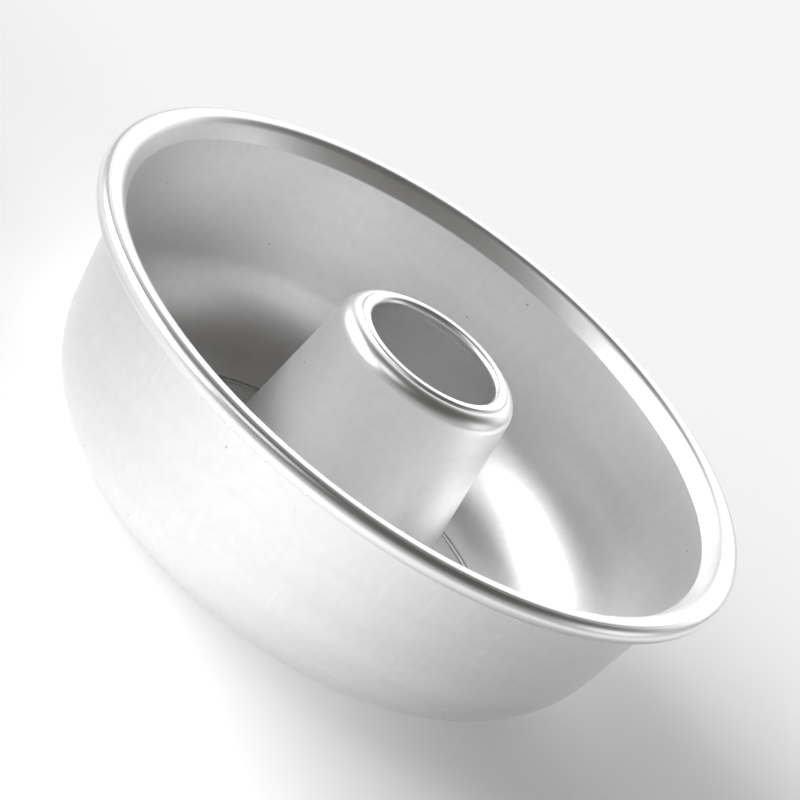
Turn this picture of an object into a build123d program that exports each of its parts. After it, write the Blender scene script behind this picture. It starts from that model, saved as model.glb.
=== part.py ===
from build123d import *
import os
from math import asin, atan2, cos, degrees, hypot, radians, sin, tan

# Angel food cake pan: a round-cornered pan body with a rolled rim, and a loose
# base plate with a centre tube clinched to it, which lifts out of the body.
# Millimetres, Z up, origin in the middle of the plane that the pan stands on.

least_edge = 0.01           # shorter edges of a sheet's outline are joined up

# Pan body, spun from one sheet
body_sheet = 1.0            # sheet thickness of the body
rim_radius = 105.0          # outside of the rolled rim
pan_height = 69.5           # top of the rolled rim above the table
wall_angle = 9.0            # degrees that the wall leans out from upright
heel_angle = 12.0           # degrees that the round corner starts above level
heel_run = 0.4              # straight between the recess bend and the round corner
recess_radius = 64.0        # inside wall of the recess that takes the base plate
recess_bend = 0.08          # inside radius of the recess bends
ledge_width = 8.0           # width of the ledge that the base plate rests on
heel_above_plate = 0.3      # rise of the heel over the base plate

# Rolled rim of the body, all at mid sheet
crown_radius = 4.0          # bend over the top and along the underside
nose_radius = 2.5           # tighter bend round the outside
nose_turn = 30.0            # degrees of crown before the tighter bend starts
flare_angle = 55.0          # degrees that the flare rises above level
flare_height = 5.2          # crease below the top of the bead
crease_bend = 1.2           # bend radius at the crease under the flare
curl_turn = 47.0            # degrees that the edge curls up again under the bead

# Base plate
plate_thickness = 1.0
plate_gap = 0.3             # running gap between plate and recess wall
plate_edge_share = 0.3      # rounding of the plate's edge, of its thickness

# Centre tube, clinched through the base plate
tube_sheet = 0.8            # sheet thickness of the tube
tube_height = 71.2          # top of the lip above the table
foot_radius = 35.3          # outside of the cone where it meets the plate
clinch_step = 2.1           # how far the cone stands out past the plate's hole
clinch_width = 3.4          # flange turned out under the plate
clinch_bend = 0.1           # inside radius of the clinch bends
mouth_radius = 20.5         # clear radius through the lip
lip_width = 2.6             # width of the lip's top, at mid sheet
lip_slant = 0.5             # run of the lip's outer side, inwards
lip_rise = 0.7              # lip above the groove, at mid sheet
lip_turn_down = 3.0         # depth of the turned-down edge below the lip's mid sheet
lip_outer_bend = 0.6        # inside radius at the outer side of the lip
lip_inner_bend = 1.0        # inside radius where the lip turns down
groove_bend = 0.1           # inside radius of the groove between lip and shoulder
shoulder_bend = 4.2         # inside radius of the round shoulder above the cone
shoulder_flat = 0.1         # straight between groove and shoulder bend
shoulder_fall = 12.0        # degrees that the shoulder falls away from the groove


def point_from(start, angle, distance):
    """Point at a distance from start, along a heading in degrees."""
    return (start[0] + distance * cos(radians(angle)), start[1] + distance * sin(radians(angle)))


def crossing(first, first_angle, second, second_angle):
    """Point where two lines, each given by a point and a heading, cross."""
    dx = second[0] - first[0]
    dy = second[1] - first[1]
    a = radians(first_angle)
    b = radians(second_angle)
    distance = (dx * sin(b) - dy * cos(b)) / sin(b - a)
    return point_from(first, first_angle, distance)


def bent_sheet(path, thickness):
    """Ring of sheet metal: the mid-sheet line gets its thickness and turns about Z."""
    outline = offset(path, amount=thickness / 2, side=Side.BOTH, closed=True, min_edge_length=least_edge)
    return revolve(Plane.XZ * make_face(outline), Axis.Z)


def heading(edge_or_wire):
    """Direction at the end of a line, as a vector."""
    return edge_or_wire % 1


def rolled_rim(crest):
    """Mid-sheet line of the rim from its flare to its curled edge, through the crest."""
    crown_start = (
        crest[0] - crown_radius * sin(radians(flare_angle)),
        crest[1] - crown_radius * (1 - cos(radians(flare_angle))),
    )
    flare_run = (flare_height - (crest[1] - crown_start[1])) / sin(radians(flare_angle))
    crease = point_from(crown_start, flare_angle, -flare_run)
    flare_way = (cos(radians(flare_angle)), sin(radians(flare_angle)))
    crown = JernArc(crown_start, flare_way, crown_radius, -(flare_angle + nose_turn))
    nose_size = 180 - 2 * nose_turn
    nose = JernArc(crown @ 1, heading(crown), nose_radius, -nose_size)
    curl = JernArc(nose @ 1, heading(nose), crown_radius, -(nose_turn + curl_turn))
    return crease, crown_start, [crown, nose, curl]


def make_pan_body():
    """Body in one sheet: ledge, recess, round corner, leaning wall, flare and rolled bead."""
    half = body_sheet / 2
    nose_reach = crown_radius * sin(radians(nose_turn)) + nose_radius * (1 - sin(radians(nose_turn)))
    crest = (rim_radius - half - nose_reach, pan_height - half)
    crease, crown_start, bead = rolled_rim(crest)
    ledge_edge = (recess_radius - ledge_width, half)
    recess_foot = (recess_radius + half, half)
    heel = (recess_radius + half, half + plate_thickness + heel_above_plate)
    corner = crossing(heel, heel_angle, crease, 90 - wall_angle)
    bend = recess_bend + half
    heel_tangent = bend * tan(radians(90 - heel_angle) / 2)
    corner_tangent = hypot(corner[0] - heel[0], corner[1] - heel[1]) - heel_tangent - heel_run
    corner_radius = corner_tangent / tan(radians(90 - wall_angle - heel_angle) / 2)
    lower = FilletPolyline(
        ledge_edge, recess_foot, heel, corner, crease, crown_start,
        radius=[bend, bend, corner_radius, crease_bend],
    )
    path = Wire([*lower.edges(), *[edge for arc in bead for edge in arc.edges()]])
    return bent_sheet(path, body_sheet)


def cone_to_shoulder(groove, foot, fall, groove_space, shoulder_radius):
    """Corner where the shoulder's fall from the groove meets the cone, tangent to its bend."""
    bend_start = point_from(groove, -fall, groove_space)
    middle = point_from(bend_start, -fall - 90, shoulder_radius)
    across = middle[0] - foot[0]
    up = middle[1] - foot[1]
    cone_heading = degrees(atan2(up, across) - asin(shoulder_radius / hypot(across, up)))
    return crossing(groove, -fall, foot, cone_heading)


def make_base_plate():
    """Loose floor of the pan: a flat ring that rests on the body's ledge."""
    plate_radius = recess_radius - plate_gap
    hole_radius = foot_radius - clinch_step
    plate = Pos(0, 0, body_sheet) * extrude(Circle(plate_radius) - Circle(hole_radius), plate_thickness)
    outer_edges = plate.edges().filter_by(GeomType.CIRCLE).group_by(SortBy.RADIUS)[-1]
    plate = fillet(outer_edges, plate_thickness * plate_edge_share)
    hole_edges = plate.edges().filter_by(GeomType.CIRCLE).filter_by(lambda edge: edge.radius < foot_radius)
    return fillet(hole_edges, clinch_bend)


def make_centre_tube():
    """Tube in one sheet: clinched flange, neck, cone, round shoulder, groove and turned-in lip."""
    half = tube_sheet / 2
    flange_level = body_sheet - half
    seat_level = body_sheet + plate_thickness + half
    lip_level = tube_height - half
    groove_level = lip_level - lip_rise
    hole_radius = foot_radius - clinch_step
    neck_radius = hole_radius - half
    lip_end = mouth_radius + half
    lip_start = lip_end + lip_width
    groove_radius = lip_start + lip_slant
    groove_turn = degrees(atan2(lip_rise, lip_slant)) - shoulder_fall
    groove_space = (groove_bend + half) * tan(radians(groove_turn) / 2) + shoulder_flat
    foot = (foot_radius - half, seat_level)
    groove = (groove_radius, groove_level)
    shoulder = cone_to_shoulder(groove, foot, shoulder_fall, groove_space, shoulder_bend + half)
    bends = [clinch_bend, clinch_bend, clinch_bend, shoulder_bend, groove_bend, lip_outer_bend, lip_inner_bend]
    path = FilletPolyline(
        (hole_radius + clinch_width, flange_level),
        (neck_radius, flange_level),
        (neck_radius, seat_level),
        foot,
        shoulder,
        groove,
        (lip_start, lip_level),
        (lip_end, lip_level),
        (lip_end, lip_level - lip_turn_down),
        radius=[bend + half for bend in bends],
    )
    return bent_sheet(path, tube_sheet)


pieces = {
    "pan_body": make_pan_body(),
    "base_plate": make_base_plate(),
    "centre_tube": make_centre_tube(),
}

os.makedirs("parts", exist_ok=True)
for name, shape in pieces.items():
    export_step(shape, f"parts/{name}.step")
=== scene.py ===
import bpy
import bmesh
import math
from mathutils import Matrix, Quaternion, Vector


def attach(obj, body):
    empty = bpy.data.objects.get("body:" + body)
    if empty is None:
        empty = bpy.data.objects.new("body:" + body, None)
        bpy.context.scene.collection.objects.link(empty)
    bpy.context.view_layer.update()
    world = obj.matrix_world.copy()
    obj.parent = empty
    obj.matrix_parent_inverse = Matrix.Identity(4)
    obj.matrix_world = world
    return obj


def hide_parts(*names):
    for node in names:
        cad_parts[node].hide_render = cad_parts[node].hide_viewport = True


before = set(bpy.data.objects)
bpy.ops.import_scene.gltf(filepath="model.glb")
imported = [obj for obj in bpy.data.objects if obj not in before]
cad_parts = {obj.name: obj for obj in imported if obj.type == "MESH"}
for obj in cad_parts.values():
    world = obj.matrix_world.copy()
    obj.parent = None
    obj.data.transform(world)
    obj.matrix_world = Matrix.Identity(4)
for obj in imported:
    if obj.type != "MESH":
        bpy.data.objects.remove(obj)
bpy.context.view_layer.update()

mm = 0.001

photoView = {
    "rimMiddle": 0.0664,      # height of the middle of the rim, metres
    "distance": 0.945,        # camera to the middle of the rim
    "elevation": 23.8,        # degrees above the rim's plane
    "roll": 37.7,             # the pan leans in the picture, so the camera rolls
    "aim": (0.0004, -0.0051, 0.0550),
    "lens": 154.9,
    "sensor": 36.0,
}


def placeCamera(view):
    elevation = math.radians(view["elevation"])
    place = Vector((0, -math.cos(elevation), math.sin(elevation))) * view["distance"]
    place.z += view["rimMiddle"]
    looking = (Vector(view["aim"]) - place).to_track_quat("-Z", "Y")
    data = bpy.data.cameras.new("camera")
    data.lens = view["lens"]
    data.sensor_width = view["sensor"]
    camera = bpy.data.objects.new("camera", data)
    camera.location = place
    camera.rotation_mode = "QUATERNION"
    camera.rotation_quaternion = looking @ Quaternion((0, 0, 1), math.radians(view["roll"]))
    bpy.context.scene.collection.objects.link(camera)
    bpy.context.scene.camera = camera


# Sheet metal is drawn as a line of runs and bends at the middle of the sheet,
# spun about the pan's axis, and then given its thickness.

weldDistance = 0.001 * mm     # points nearer than this are one
fewestSteps = 3               # lines of the mesh in the shortest bend
cutEdge = {"segments": 3, "sharperThan": 50}      # degrees between two faces


def pointAlong(heading):
    angle = math.radians(heading)
    return Vector((math.cos(angle), 0, math.sin(angle)))


def spin(sheet, parts, middle, axis, turn, steps, closed):
    return bmesh.ops.spin(
        sheet, geom=parts, cent=middle, axis=axis, dvec=(0, 0, 0),
        angle=math.radians(turn), steps=steps,
        use_merge=closed, use_normal_flip=False, use_duplicate=False,
    )


def goStraight(sheet, tip, heading, length):
    pulled = bmesh.ops.extrude_vert_indiv(sheet, verts=[tip])["verts"][0]
    bmesh.ops.translate(sheet, verts=[pulled], vec=pointAlong(heading) * length * mm)
    return pulled


def bendRound(sheet, tip, heading, radius, turn, step):
    towardsMiddle = pointAlong(heading + math.copysign(90, turn))
    middle = tip.co + towardsMiddle * radius * mm
    steps = max(fewestSteps, round(abs(turn) / step))
    return spin(sheet, [tip], middle, (0, -1, 0), turn, steps, False)["geom_last"][0]


def drawLine(sheet, metal):
    start = Vector((metal["startRadius"], 0, metal["startHeight"])) * mm
    tip = bmesh.ops.create_vert(sheet, co=start)["vert"][0]
    heading = metal["startHeading"]
    for run, radius, turn, step in metal["runsAndBends"]:
        parts = math.ceil(run / metal["longestRun"])
        for _ in range(parts):
            tip = goStraight(sheet, tip, heading, run / parts)
        if radius:
            tip = bendRound(sheet, tip, heading, radius, turn, step)
            heading += turn


def spinSheet(name, metal):
    sheet = bmesh.new()
    drawLine(sheet, metal)
    outline = sheet.verts[:] + sheet.edges[:]
    spin(sheet, outline, (0, 0, 0), (0, 0, 1), 360, metal["spinSteps"], True)
    bmesh.ops.remove_doubles(sheet, verts=sheet.verts[:], dist=weldDistance)
    bmesh.ops.recalc_face_normals(sheet, faces=sheet.faces[:])
    for face in sheet.faces:
        face.smooth = True
    mesh = bpy.data.meshes.new(name)
    sheet.to_mesh(mesh)
    sheet.free()
    piece = bpy.data.objects.new(name, mesh)
    bpy.context.scene.collection.objects.link(piece)
    wall = piece.modifiers.new("sheet", "SOLIDIFY")
    wall.thickness = metal["thickness"] * mm
    wall.offset = 0
    wall.use_even_offset = True
    wall.use_quality_normals = True
    cut = piece.modifiers.new("cutEdge", "BEVEL")
    cut.width = metal["edgeRounding"] * mm
    cut.segments = cutEdge["segments"]
    cut.limit_method = "ANGLE"
    cut.angle_limit = math.radians(cutEdge["sharperThan"])
    return piece


# Each row: straight run before the bend, radius of the bend, its turn in degrees
# (left is positive), and the degrees between two lines of the mesh. Millimetres.
panBody = {
    "thickness": 1.0,
    "edgeRounding": 0.3,
    "longestRun": 6.0,
    "spinSteps": 300,
    "startRadius": 56.0,      # the ledge that carries the base plate
    "startHeight": 0.5,
    "startHeading": 0,
    "runsAndBends": [
        (7.92, 0.58, 90, 18),
        (0.2503, 0.58, -78, 18),      # wall of the recess
        (0.4, 31.3791, 69, 3),        # heel, then the round corner
        (36.2067, 1.2, -26, 6.5),     # leaning wall up to the crease
        (3.9887, 4.0, -85, 5),        # flare, then over the crown
        (0, 2.5, -120, 6),
        (0, 4.0, -77, 6),             # curled edge under the bead
    ],
}

centreTube = {
    "thickness": 0.8,
    "edgeRounding": 0.25,
    "longestRun": 6.0,
    "spinSteps": 240,
    "startRadius": 36.6,      # flange clinched under the plate
    "startHeight": 0.6,
    "startHeading": 180,
    "runsAndBends": [
        (3.3, 0.5, -90, 18),
        (0.8, 0.5, -90, 18),          # neck through the plate's hole
        (1.042, 0.5, 96.2733, 16),    # step that sits on the plate
        (63.4674, 4.6, 71.7267, 5),   # cone, then the round shoulder
        (0.1, 0.5, -42.4623, 10),     # groove
        (0.1514, 1.0, 54.4623, 9),    # lip
        (0.6854, 1.4, 90, 7.5),
        (1.6, 0, 0, 1),               # turned-down edge
    ],
}

basePlate = {
    "thickness": 1.0,
    "edgeRounding": 0.3,
    "longestRun": 2.0,
    "spinSteps": 300,
    "startRadius": 33.2,
    "startHeight": 1.5,
    "startHeading": 0,
    "runsAndBends": [(30.5, 0, 0, 1)],
}


# Shorthand for shader nodes.

colourA, colourB, mixedColour = 6, 7, 2       # sockets of a mix that is set to colours
noiseLow, noiseHigh = 0.3, 0.7                # nearly all of a noise lies between these


def addNode(tree, kind, values=None, **settings):
    node = tree.nodes.new(kind)
    for name, value in settings.items():
        setattr(node, name, value)
    for name, value in (values or {}).items():
        if isinstance(value, bpy.types.NodeSocket):
            tree.links.new(value, node.inputs[name])
        else:
            node.inputs[name].default_value = value
    return node


def calc(tree, operation, *values):
    node = addNode(tree, "ShaderNodeMath", dict(enumerate(values)), operation=operation)
    return node.outputs[0]


def vectorCalc(tree, operation, values, result):
    return addNode(tree, "ShaderNodeVectorMath", values, operation=operation).outputs[result]


def mapTo(tree, value, low, high, toLow=0.0, toHigh=1.0):
    node = addNode(tree, "ShaderNodeMapRange", {
        "Value": value, "From Min": low, "From Max": high, "To Min": toLow, "To Max": toHigh,
    }, interpolation_type="SMOOTHSTEP")
    return node.outputs["Result"]


def fadeOut(tree, distance, reach):
    left = calc(tree, "SUBTRACT", 1.0, calc(tree, "DIVIDE", distance, reach))
    return calc(tree, "MAXIMUM", left, 0.0)


def splitXyz(tree, vector):
    return addNode(tree, "ShaderNodeSeparateXYZ", {"Vector": vector}).outputs


def mixColours(tree, share, first, second):
    values = {"Factor": share, colourA: first, colourB: second}
    return addNode(tree, "ShaderNodeMix", values, data_type="RGBA").outputs[mixedColour]


def noise(tree, values, **settings):
    node = addNode(tree, "ShaderNodeTexNoise", {"Scale": 1.0, **values}, **settings)
    return node.outputs["Fac"]


def scatterCells(tree, place, **settings):
    values = {"Vector": place, "Scale": 1.0}
    return addNode(tree, "ShaderNodeTexVoronoi", values, **settings).outputs


def objectPlace(tree, scale=None):
    place = addNode(tree, "ShaderNodeTexCoord").outputs["Object"]
    if scale is None:
        return place
    return vectorCalc(tree, "SCALE", {0: place, "Scale": scale}, 0)


def placeInUnits(tree, unit):
    return objectPlace(tree, calc(tree, "DIVIDE", 1.0, unit))


def radiusAndHeight(tree):
    parts = splitXyz(tree, objectPlace(tree))
    squaredX = calc(tree, "MULTIPLY", parts["X"], parts["X"])
    squaredY = calc(tree, "MULTIPLY", parts["Y"], parts["Y"])
    return calc(tree, "SQRT", calc(tree, "ADD", squaredX, squaredY)), parts["Z"]


# Shader groups, each built once and set by every material for itself.

def startGroup(name, inputs, outputs):
    group = bpy.data.node_groups.new(name, "ShaderNodeTree")
    for label, value in inputs.items():
        socket = group.interface.new_socket(name=label, in_out="INPUT", socket_type="NodeSocketFloat")
        socket.default_value = value
    for label in outputs:
        group.interface.new_socket(name=label, in_out="OUTPUT", socket_type="NodeSocketFloat")
    given = group.nodes.new("NodeGroupInput").outputs
    result = group.nodes.new("NodeGroupOutput").inputs
    return group, given, result


def makeBlastedGrain():
    # fine matt pits of the anodised sheet, and the soft mottling between them
    coarseness = 5.0              # mottles to pits
    group, given, result = startGroup("blastedGrain", {"Size": 0.0004}, ["Height", "Mottle"])
    scale = calc(group, "DIVIDE", 1.0, given["Size"])
    fine = noise(group, {"Vector": objectPlace(group, scale), "Detail": 3.0, "Roughness": 0.65})
    coarseScale = calc(group, "DIVIDE", scale, coarseness)
    coarse = noise(group, {"Vector": objectPlace(group, coarseScale), "Detail": 2.0})
    group.links.new(fine, result["Height"])
    group.links.new(mapTo(group, coarse, noiseLow, noiseHigh), result["Mottle"])
    return group


def makeSpinMarks():
    # rings that the spinning tool leaves, followed along the sheet from floor to rim
    bandWidth = 9.0               # pitches
    patchScale = 14.0             # patches of stronger rings, to the metre
    patchLow, patchHigh, weakest = 0.35, 0.65, 0.35
    group, given, result = startGroup("spinMarks", {"Pitch": 0.0008}, ["Height", "Band"])
    radius, height = radiusAndHeight(group)
    along = calc(group, "DIVIDE", calc(group, "ADD", radius, height), given["Pitch"])
    fine = noise(group, {"W": along, "Detail": 4.0, "Roughness": 0.7}, noise_dimensions="1D")
    alongBands = calc(group, "DIVIDE", along, bandWidth)
    broad = noise(group, {"W": alongBands, "Detail": 1.0}, noise_dimensions="1D")
    patches = noise(group, {"Vector": objectPlace(group, patchScale), "Detail": 1.0})
    strong = mapTo(group, patches, patchLow, patchHigh, weakest, 1.0)
    ridge = calc(group, "MULTIPLY", calc(group, "SUBTRACT", fine, 0.5), strong)
    band = calc(group, "MULTIPLY", mapTo(group, broad, noiseLow, noiseHigh), strong)
    group.links.new(ridge, result["Height"])
    group.links.new(band, result["Band"])
    return group


def makeStrokes():
    # hairline strokes along the sheet, each with its own slant, fading towards both ends
    wallRadius = 0.09             # where the spacing round the axis is true
    cellStretch = 1.1             # length of a cell to that of its stroke
    group, given, result = startGroup("strokes", {
        "Length": 0.02, "Width": 0.0001, "Spacing": 0.004, "Share": 0.3, "Lean": 0.0, "Spread": 0.1,
    }, ["Mask"])
    parts = splitXyz(group, objectPlace(group))
    radius, height = radiusAndHeight(group)
    along = calc(group, "ADD", radius, height)
    around = calc(group, "MULTIPLY", calc(group, "ARCTAN2", parts["Y"], parts["X"]), wallRadius)
    around = calc(group, "MULTIPLY_ADD", along, given["Lean"], around)
    cellLength = calc(group, "MULTIPLY", given["Length"], cellStretch)
    place = addNode(group, "ShaderNodeCombineXYZ", {
        "X": calc(group, "DIVIDE", around, given["Spacing"]),
        "Y": calc(group, "DIVIDE", along, cellLength),
    }).outputs[0]
    cells = scatterCells(group, place, voronoi_dimensions="2D")
    picked = splitXyz(group, cells["Color"])
    off = splitXyz(group, vectorCalc(group, "SUBTRACT", {0: place, 1: cells["Position"]}, 0))
    sideways = calc(group, "MULTIPLY", off["X"], given["Spacing"])
    endways = calc(group, "MULTIPLY", off["Y"], cellLength)
    slant = calc(group, "MULTIPLY", calc(group, "SUBTRACT", picked["Y"], 0.5), given["Spread"])
    sideways = calc(group, "ABSOLUTE", calc(group, "MULTIPLY_ADD", endways, slant, sideways))
    thin = fadeOut(group, sideways, given["Width"])
    halfLength = calc(group, "MULTIPLY", given["Length"], 0.5)
    fade = calc(group, "DIVIDE", calc(group, "ABSOLUTE", endways), halfLength)
    fade = calc(group, "SUBTRACT", 1.0, calc(group, "MULTIPLY", fade, fade))
    fade = calc(group, "MAXIMUM", fade, 0.0)
    chosen = calc(group, "LESS_THAN", picked["X"], given["Share"])
    mask = calc(group, "MULTIPLY", calc(group, "MULTIPLY", thin, fade), chosen)
    group.links.new(mask, result["Mask"])
    return group


def makeSpecks():
    # tiny dark dots of grit and oxide
    hardness = 2.0                # dots are full up to the middle of their radius
    group, given, result = startGroup("specks", {"Spacing": 0.006, "Size": 0.0002, "Share": 0.4}, ["Mask"])
    cells = scatterCells(group, placeInUnits(group, given["Spacing"]))
    picked = splitXyz(group, cells["Color"])
    reach = calc(group, "DIVIDE", given["Size"], given["Spacing"])
    chosen = calc(group, "LESS_THAN", picked["X"], given["Share"])
    dot = calc(group, "MULTIPLY", fadeOut(group, cells["Distance"], reach), chosen)
    dot = calc(group, "MINIMUM", calc(group, "MULTIPLY", dot, hardness), 1.0)
    group.links.new(dot, result["Mask"])
    return group


def makeHaze():
    # cloudy change of sheen where hands and cloths have been
    group, given, result = startGroup("haze", {"Size": 0.05}, ["Cloud"])
    place = placeInUnits(group, given["Size"])
    cloud = noise(group, {"Vector": place, "Detail": 3.0, "Distortion": 0.4})
    group.links.new(mapTo(group, cloud, noiseLow, noiseHigh), result["Cloud"])
    return group


def makeRingLine():
    # hairline ring at one radius and above one height
    group, given, result = startGroup("ringLine", {"Radius": 0.1, "Width": 0.0002, "Above": 0.0}, ["Mask"])
    radius, height = radiusAndHeight(group)
    off = calc(group, "ABSOLUTE", calc(group, "SUBTRACT", radius, given["Radius"]))
    line = fadeOut(group, off, given["Width"])
    above = calc(group, "GREATER_THAN", height, given["Above"])
    group.links.new(calc(group, "MULTIPLY", line, above), result["Mask"])
    return group


groups = {
    "grain": makeBlastedGrain(),
    "marks": makeSpinMarks(),
    "strokes": makeStrokes(),
    "specks": makeSpecks(),
    "haze": makeHaze(),
    "line": makeRingLine(),
}
print("shader groups made:", len(groups))


def placeGroup(tree, name, values):
    node = tree.nodes.new("ShaderNodeGroup")
    node.node_tree = groups[name]
    for label, value in values.items():
        node.inputs[label].default_value = value
    return node.outputs


def addUp(tree, start, *parts):
    total = start
    for mask, amount in parts:
        total = calc(tree, "MULTIPLY_ADD", mask, amount, total)
    return total


def anodisedAluminium(name, finish):
    material = bpy.data.materials.new(name)
    material.use_nodes = True
    tree = material.node_tree
    shader = tree.nodes["Principled BSDF"]
    shader.inputs["Metallic"].default_value = 1.0

    grain = placeGroup(tree, "grain", finish["grain"])
    marks = placeGroup(tree, "marks", finish["marks"])
    nicks = placeGroup(tree, "strokes", finish["nicks"])["Mask"]
    speck = placeGroup(tree, "specks", finish["specks"])["Mask"]
    haze = placeGroup(tree, "haze", finish["haze"])["Cloud"]
    line = placeGroup(tree, "line", finish["line"])["Mask"]
    radius, height = radiusAndHeight(tree)
    outwards = {"radius": radius, "height": height}[finish["polishAlong"]]
    matt = mapTo(tree, outwards, finish["polishStart"], finish["polishFull"], 1.0, 0.0)
    rubs = calc(tree, "MULTIPLY", placeGroup(tree, "strokes", finish["rubs"])["Mask"], matt)

    # darker in the pits, bands, specks, nicks and the line, with painted shade at the joint that dims the
    # bend's highlight, then lighter along rubs
    shade = calc(tree, "MULTIPLY", grain["Mottle"], finish["mottleTint"])
    shade = addUp(tree, shade, (marks["Band"], finish["bandTint"]))
    shade = calc(tree, "MULTIPLY", shade, matt)
    # painted shade: base colour darkened at the joint between plate and body, so that the bend there
    # catches less highlight
    jointShade = mapTo(tree, radius, finish["jointShadeStart"], finish["jointShadeFull"])
    shade = addUp(
        tree, shade, (speck, finish["speckTint"]), (line, finish["lineTint"]),
        (nicks, finish["nickTint"]), (jointShade, finish["jointShadeTint"]),
    )
    shade.node.use_clamp = True
    darker = mixColours(tree, shade, (*finish["colour"], 1), (*finish["darkColour"], 1))
    rubbed = calc(tree, "MULTIPLY", rubs, finish["rubTint"])
    lighter = mixColours(tree, rubbed, darker, (*finish["rubColour"], 1))
    tree.links.new(lighter, shader.inputs["Base Color"])

    # satin sheet, polished rolled edge, cloudy haze, duller rubs
    polished = finish["polishedRoughness"]
    rough = calc(tree, "MULTIPLY_ADD", matt, finish["satinRoughness"] - polished, polished)
    rough = addUp(
        tree, rough, (calc(tree, "SUBTRACT", haze, 0.5), finish["hazeRoughness"]),
        (calc(tree, "SUBTRACT", marks["Band"], 0.5), finish["bandRoughness"]),
        (rubs, finish["rubRoughness"]),
    )
    tree.links.new(rough, shader.inputs["Roughness"])

    # relief in millimetres: pits of the anodised skin, rings of the spinning tool, the line
    depth, left = finish["grainDepth"], finish["grainLeftByPolish"]
    pitDepth = calc(tree, "MULTIPLY_ADD", matt, depth * (1 - left), depth * left)
    relief = calc(tree, "MULTIPLY", grain["Height"], pitDepth)
    relief = addUp(tree, relief, (marks["Height"], finish["markDepth"]), (line, -finish["lineDepth"]))
    bump = addNode(tree, "ShaderNodeBump", {"Strength": 1.0, "Distance": mm, "Height": relief})
    tree.links.new(bump.outputs["Normal"], shader.inputs["Normal"])
    return material


bodyFinish = {
    "colour": (0.895, 0.897, 0.90),
    "darkColour": (0.40, 0.39, 0.38),
    "rubColour": (1.0, 1.0, 1.0),
    "satinRoughness": 0.41,
    "polishedRoughness": 0.27,
    "polishAlong": "radius",
    "polishStart": 0.0980,    # where the bead's shine begins
    "polishFull": 0.0995,
    "grain": {"Size": 0.0005},
    "grainDepth": 0.010,
    "grainLeftByPolish": 0.05,
    "mottleTint": 0.05,
    "marks": {"Pitch": 0.0009},
    "markDepth": 0.003,
    "bandTint": 0.03,
    "bandRoughness": 0.03,
    "haze": {"Size": 0.05},
    "hazeRoughness": 0.04,
    "rubs": {
        "Length": 0.026, "Width": 0.00016, "Spacing": 0.0042, "Share": 0.30, "Lean": 0.05, "Spread": 0.12,
    },
    "rubTint": 0.8,
    "rubRoughness": 0.06,
    "nicks": {
        "Length": 0.005, "Width": 0.00022, "Spacing": 0.014, "Share": 0.10, "Lean": 0.6, "Spread": 0.8,
    },
    "nickTint": 0.16,
    "specks": {"Spacing": 0.010, "Size": 0.00045, "Share": 0.35},
    "speckTint": 0.7,
    "line": {"Radius": 0.1029, "Width": 0.00025, "Above": 0.064},
    "lineTint": 0.25,
    "lineDepth": 0.02,
    "jointShadeStart": 0.0654,     # painted shade where the base plate meets the body, dimming the bend's highlight
    "jointShadeFull": 0.0646,
    "jointShadeTint": 0.9,
}

noLine = {"Radius": 0.5, "Width": 0.00025, "Above": 0.2}      # outside the pan

plateFinish = dict(
    bodyFinish, polishStart=0.2, polishFull=0.21,     # past its edge, so satin all over
    markDepth=0.004, bandTint=0.05, line=noLine, jointShadeStart=0.0629, jointShadeFull=0.0635,
)

tubeFinish = dict(
    bodyFinish, polishAlong="height", polishStart=0.0640, polishFull=0.0685,
    colour=(0.93, 0.93, 0.93), satinRoughness=0.44, polishedRoughness=0.34,
    line=noLine, jointShadeTint=0.0,
)


pieces = [
    ("spunBody", panBody, bodyFinish, "pan", "pan_body", "satin_aluminium_body"),
    ("floorPlate", basePlate, plateFinish, "insert", "base_plate", "satin_aluminium_plate"),
    ("coneTube", centreTube, tubeFinish, "insert", "centre_tube", "satin_aluminium_tube"),
]
for name, metal, finish, body, node, slot in pieces:
    piece = spinSheet(name, metal)
    piece.data.materials.append(anodisedAluminium(name + "Aluminium", finish))
    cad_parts[node].data.materials.clear()
    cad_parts[node].data.materials.append(piece.data.materials[0])
    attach(piece, body)
    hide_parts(node)
    print("made", name, "for", node)

placeCamera(photoView)

studio = {
    "floorColour": (0.92, 0.92, 0.92),
    "floorSize": 12.0,
    "floorRoughness": 0.9,
    "floorShine": 0.1,
    "floorGlow": 0.25,        # seen by the camera and in reflections only
    "paintedFloorPools": {
        # painted pools in the floor's glow, which the metal reflects: front is a painted pool of light,
        # the others painted shadow and shade; middle along X and Y in metres, radius, change of the glow
        "front": (-0.03, -0.20, 0.22, 0.46),
        "right": (0.14, -0.05, 0.20, -0.20),
        "farRight": (0.14, 0.10, 0.22, -0.06),
        "left": (-0.14, -0.03, 0.14, -0.20),
        "farLeft": (-0.22, 0.06, 0.20, -0.12),
    },
    "skyColour": (0.995, 0.998, 1.0),
    "darkColour": (1.0, 0.96, 0.91),
    "darkBelow": 0.12,        # strengths between which the dark colour gives way
    "skyAbove": 0.5,
    "sky": 0.09,
    "skirt": 0.37,            # pale walls of the room, up to about 50 degrees
    "skirtTop": 50.0,
    "skirtBottom": 12.0,
    "softboxes": {
        # degrees above the floor, degrees from +X towards +Y, half width in degrees, strength
        "key": (28, 165, 21, 7.0),
        "left": (28, 200, 22, 3.8),
        "back": (33, 95, 34, 1.5),
        "corner": (20, 60, 18, 1.0),
        "kicker": (20, 15, 18, 0.9),
        "hair": (60, 225, 18, 1.3),
    },
}


# the floor's glow with painted pools of light and painted shadow, brighter in front and darker to the
# sides, seen by the camera and in the metal's reflections
def floorGlowWithPaintedPools(tree):
    glow = studio["floorGlow"]
    place = objectPlace(tree)
    for x, y, radius, change in studio["paintedFloorPools"].values():
        away = vectorCalc(tree, "DISTANCE", {0: place, 1: (x, y, 0)}, "Value")
        glow = calc(tree, "ADD", glow, mapTo(tree, away, radius, 0.0, 0.0, change))
    return glow


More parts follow.
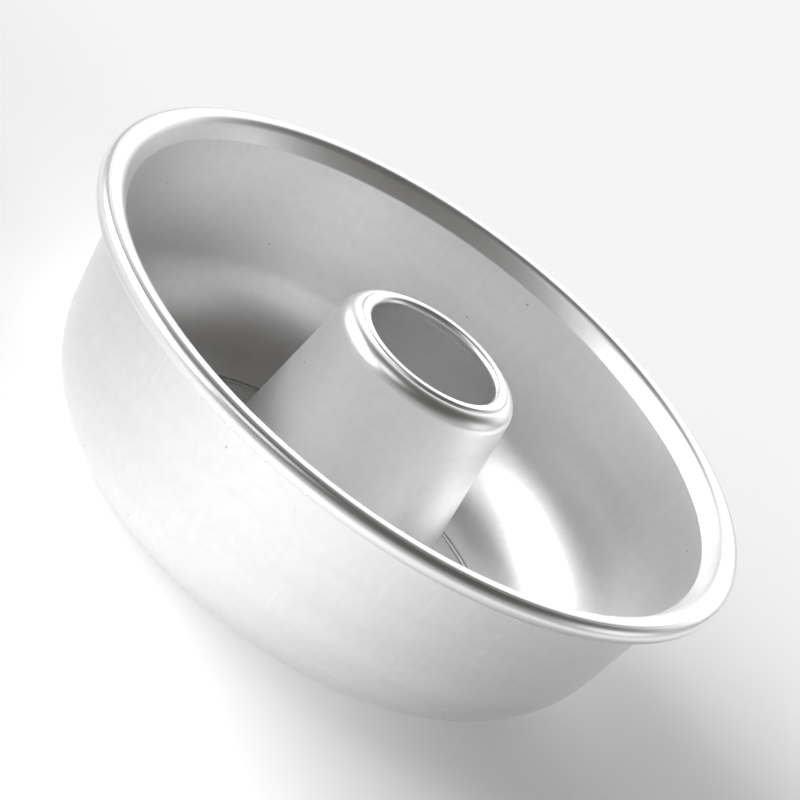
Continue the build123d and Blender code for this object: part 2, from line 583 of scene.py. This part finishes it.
def layFloor():
    sheet = bmesh.new()
    bmesh.ops.create_grid(sheet, x_segments=1, y_segments=1, size=studio["floorSize"] / 2)
    mesh = bpy.data.meshes.new("floor")
    sheet.to_mesh(mesh)
    sheet.free()
    floor = bpy.data.objects.new("floor", mesh)
    bpy.context.scene.collection.objects.link(floor)
    paper = bpy.data.materials.new("floorPaper")
    paper.use_nodes = True
    tree = paper.node_tree
    shader = tree.nodes["Principled BSDF"]
    shader.inputs["Base Color"].default_value = (*studio["floorColour"], 1)
    shader.inputs["Roughness"].default_value = studio["floorRoughness"]
    shader.inputs["Specular IOR Level"].default_value = studio["floorShine"]
    ray = addNode(tree, "ShaderNodeLightPath").outputs
    seen = calc(tree, "MAXIMUM", ray["Is Camera Ray"], ray["Is Glossy Ray"])
    seen = calc(tree, "MAXIMUM", seen, ray["Is Transmission Ray"])
    shader.inputs["Emission Color"].default_value = (*studio["floorColour"], 1)
    strength = calc(tree, "MULTIPLY", seen, floorGlowWithPaintedPools(tree))
    tree.links.new(strength, shader.inputs["Emission Strength"])
    mesh.materials.append(paper)


def direction(above, around):
    above, around = math.radians(above), math.radians(around)
    level = math.cos(above)
    return level * math.cos(around), level * math.sin(around), math.sin(above)


def hangSky():
    # a dark ceiling, pale walls and round softboxes with soft edges
    world = bpy.data.worlds.new("studio")
    world.use_nodes = True
    tree = world.node_tree
    way = addNode(tree, "ShaderNodeTexCoord").outputs["Generated"]
    up = splitXyz(tree, way)["Z"]
    top, bottom = (math.sin(math.radians(studio[edge])) for edge in ("skirtTop", "skirtBottom"))
    skirt = mapTo(tree, up, bottom, top, studio["skirt"], 0.0)
    light = calc(tree, "ADD", skirt, studio["sky"])
    for above, around, halfWidth, strength in studio["softboxes"].values():
        facing = vectorCalc(tree, "DOT_PRODUCT", {0: way, 1: direction(above, around)}, "Value")
        edge = math.cos(math.radians(halfWidth))
        light = calc(tree, "ADD", light, mapTo(tree, facing, edge, 1.0, 0.0, strength))
    bright = mapTo(tree, light, studio["darkBelow"], studio["skyAbove"])
    tint = mixColours(tree, bright, (*studio["darkColour"], 1), (*studio["skyColour"], 1))
    background = tree.nodes["Background"]
    tree.links.new(tint, background.inputs["Color"])
    tree.links.new(light, background.inputs["Strength"])
    bpy.context.scene.world = world


layFloor()
hangSky()
bpy.context.scene.view_settings.view_transform = "Standard"
print("studio set, softboxes:", len(studio["softboxes"]))
